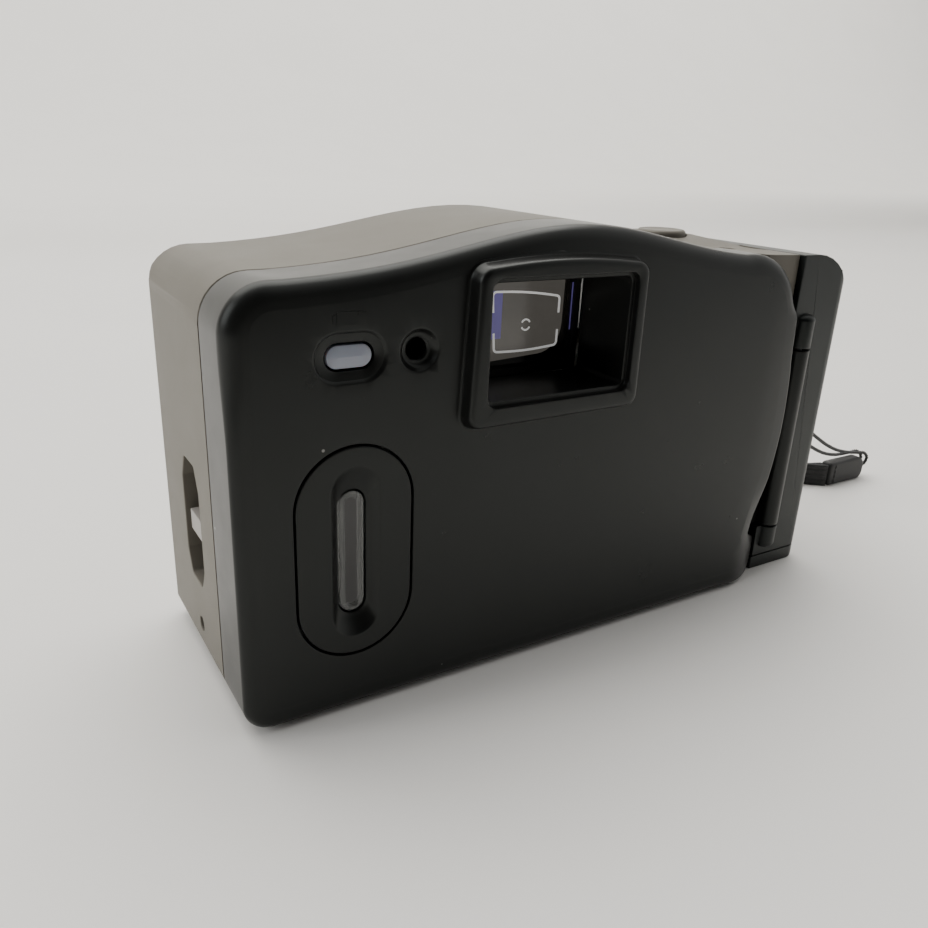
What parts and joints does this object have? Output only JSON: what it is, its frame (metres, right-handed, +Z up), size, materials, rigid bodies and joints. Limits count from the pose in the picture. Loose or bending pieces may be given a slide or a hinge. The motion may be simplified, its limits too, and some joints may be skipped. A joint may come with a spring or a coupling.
{
  "type": "compact film camera",
  "caption": "Compact 35 mm autofocus film camera with a silver shell, black hinged film door and grip, large viewfinder eyepiece, and a wrist strap on thin cords.",
  "frame": {"origin": "centre of the camera body's bounding box at the ground, without the wrist strap", "axes": "+X from the hand grip to the latch flank, +Y out of the film door (the lens looks along -Y), +Z up"},
  "size_m": [0.1906, 0.0912, 0.0741],
  "materials": {
    "silver_paint": "satin",
    "black_plastic": "satin",
    "inner_plastic": "matte",
    "blackened_metal": "satin",
    "clear_lens": "polished",
    "steel": "satin",
    "brass": "satin",
    "light_plastic": "satin",
    "capacitor_sleeve": "gloss",
    "circuit_board": "gloss",
    "foam": "matte",
    "strap_weave": "matte"
  },
  "bodies": {
    "camera_body": {"top_front_shell": "silver_paint", "grip_shell": "black_plastic", "bottom_plate": "black_plastic", "film_chamber": "inner_plastic", "lens_ring": "inner_plastic", "shutter_housing": "inner_plastic", "viewfinder_tube": "inner_plastic", "counter_display": "inner_plastic", "rear_lens": "clear_lens", "eyepiece_lens": "clear_lens", "bright_line_plate": "clear_lens", "objective_lens": "clear_lens", "viewfinder_window": "clear_lens", "flash_window": "clear_lens", "autofocus_emitter": "clear_lens", "autofocus_receiver": "clear_lens", "flash_tube": "clear_lens", "counter_window": "clear_lens", "strap_lug": "steel", "hinge_pin": "steel", "tripod_bush": "steel", "side_screw": "steel", "latch_spring": "steel", "idler_stud": "steel", "drive_motor": "steel", "battery_contact": "steel", "flash_reflector": "steel", "bottom_screw_1": "steel", "bottom_screw_2": "steel", "self_timer_lamp": "light_plastic", "battery": "light_plastic", "flash_capacitor": "capacitor_sleeve", "main_circuit_board": "circuit_board", "strap_webbing": "strap_weave", "strap_tab": "strap_weave", "strap_cord_upper": "strap_weave", "strap_cord_lower": "strap_weave"},
    "film_door": {"back_cover": "black_plastic", "film_window_bezel": "black_plastic", "film_window": "clear_lens", "transport_lamp_window": "light_plastic", "cartridge_seal": "foam", "pressure_plate_spring": "steel"},
    "pressure_plate": {"pressure_plate": "blackened_metal"},
    "latch": {"latch_slider": "light_plastic"},
    "battery_door": {"battery_door": "black_plastic"},
    "take_up_spool": {"take_up_spool": "light_plastic"},
    "idler_gear": {"idler_gear": "light_plastic"},
    "motor_pinion": {"motor_pinion": "brass"},
    "film_sprocket": {"film_sprocket": "inner_plastic"},
    "rewind_fork": {"rewind_fork": "steel"},
    "lens": {"lens_barrel": "inner_plastic", "front_lens": "clear_lens"},
    "blade_left": {"shutter_blade_left": "blackened_metal"},
    "blade_right": {"shutter_blade_right": "blackened_metal"},
    "shutter_button": {"shutter_button": "silver_paint"},
    "flash_button": {"flash_button": "inner_plastic"},
    "self_timer_button": {"self_timer_button": "inner_plastic"},
    "rewind_button": {"rewind_button": "inner_plastic"}
  },
  "joints": [
    {"name": "film_door_hinge", "type": "hinge", "parent": "camera_body", "child": "film_door", "pos_m": [-0.0525, 0.01825, 0.03], "axis": [0, 0, 1], "range_deg": [0, 105]},
    {"name": "pressure_plate_slide", "type": "slide", "parent": "film_door", "child": "pressure_plate", "axis": [0, 1, 0], "range_m": [0, 0.0006], "stiffness_N_per_m": 300, "springref_m": -0.001},
    {"name": "latch_slide", "type": "slide", "parent": "camera_body", "child": "latch", "axis": [0, 0, -1], "range_m": [0, 0.0045], "stiffness_N_per_m": 60, "springref_m": -0.003},
    {"name": "battery_door_hinge", "type": "hinge", "parent": "camera_body", "child": "battery_door", "pos_m": [-0.0441, -0.01025, 0.0014], "axis": [0, -1, 0], "range_deg": [0, 85]},
    {"name": "spool_turn", "type": "hinge", "parent": "camera_body", "child": "take_up_spool", "pos_m": [-0.0285, -0.00175, 0.03], "axis": [0, 0, 1], "continuous": true},
    {"name": "idler_turn", "type": "hinge", "parent": "camera_body", "child": "idler_gear", "pos_m": [-0.04532, 0.00343, 0.047], "axis": [0, 0, 1], "continuous": true},
    {"name": "pinion_turn", "type": "hinge", "parent": "camera_body", "child": "motor_pinion", "pos_m": [-0.0545, 0.00625, 0.047], "axis": [0, 0, 1], "continuous": true},
    {"name": "sprocket_turn", "type": "hinge", "parent": "camera_body", "child": "film_sprocket", "pos_m": [-0.0131, 0.00725, 0.025], "axis": [0, 0, 1], "continuous": true},
    {"name": "fork_turn", "type": "hinge", "parent": "camera_body", "child": "rewind_fork", "pos_m": [0.0435, -0.00225, 0.056], "axis": [0, 0, 1], "continuous": true},
    {"name": "lens_focus", "type": "slide", "parent": "camera_body", "child": "lens", "axis": [0, -1, 0], "range_m": [-0.0002, 0.0012]},
    {"name": "blade_left_turn", "type": "hinge", "parent": "camera_body", "child": "blade_left", "pos_m": [0.02, -0.00885, 0.0405], "axis": [0, -1, 0], "range_deg": [0, 38], "stiffness_Nm_per_rad": 0.0001, "springref_deg": -22.92},
    {"name": "blade_right_turn", "type": "hinge", "parent": "camera_body", "child": "blade_right", "pos_m": [0, -0.00955, 0.0405], "axis": [0, 1, 0], "range_deg": [0, 38]},
    {"name": "shutter_press", "type": "slide", "parent": "camera_body", "child": "shutter_button", "axis": [0, 0, -1], "range_m": [0, 0.0012], "stiffness_N_per_m": 100, "springref_m": -0.001},
    {"name": "flash_press", "type": "slide", "parent": "camera_body", "child": "flash_button", "axis": [0, 0, -1], "range_m": [0, 0.0006], "stiffness_N_per_m": 8, "springref_m": -0.001},
    {"name": "self_timer_press", "type": "slide", "parent": "camera_body", "child": "self_timer_button", "axis": [0, 0, -1], "range_m": [0, 0.0006], "stiffness_N_per_m": 8, "springref_m": -0.001},
    {"name": "rewind_press", "type": "slide", "parent": "camera_body", "child": "rewind_button", "axis": [0, -1, 0], "range_m": [0, 0.001], "stiffness_N_per_m": 15, "springref_m": -0.001}
  ],
  "couplings": [
    {"joint": "idler_turn", "follows": "spool_turn", "ratio": -1.75},
    {"joint": "pinion_turn", "follows": "spool_turn", "ratio": 3.5},
    {"joint": "blade_right_turn", "follows": "blade_left_turn", "ratio": 1}
  ]
}
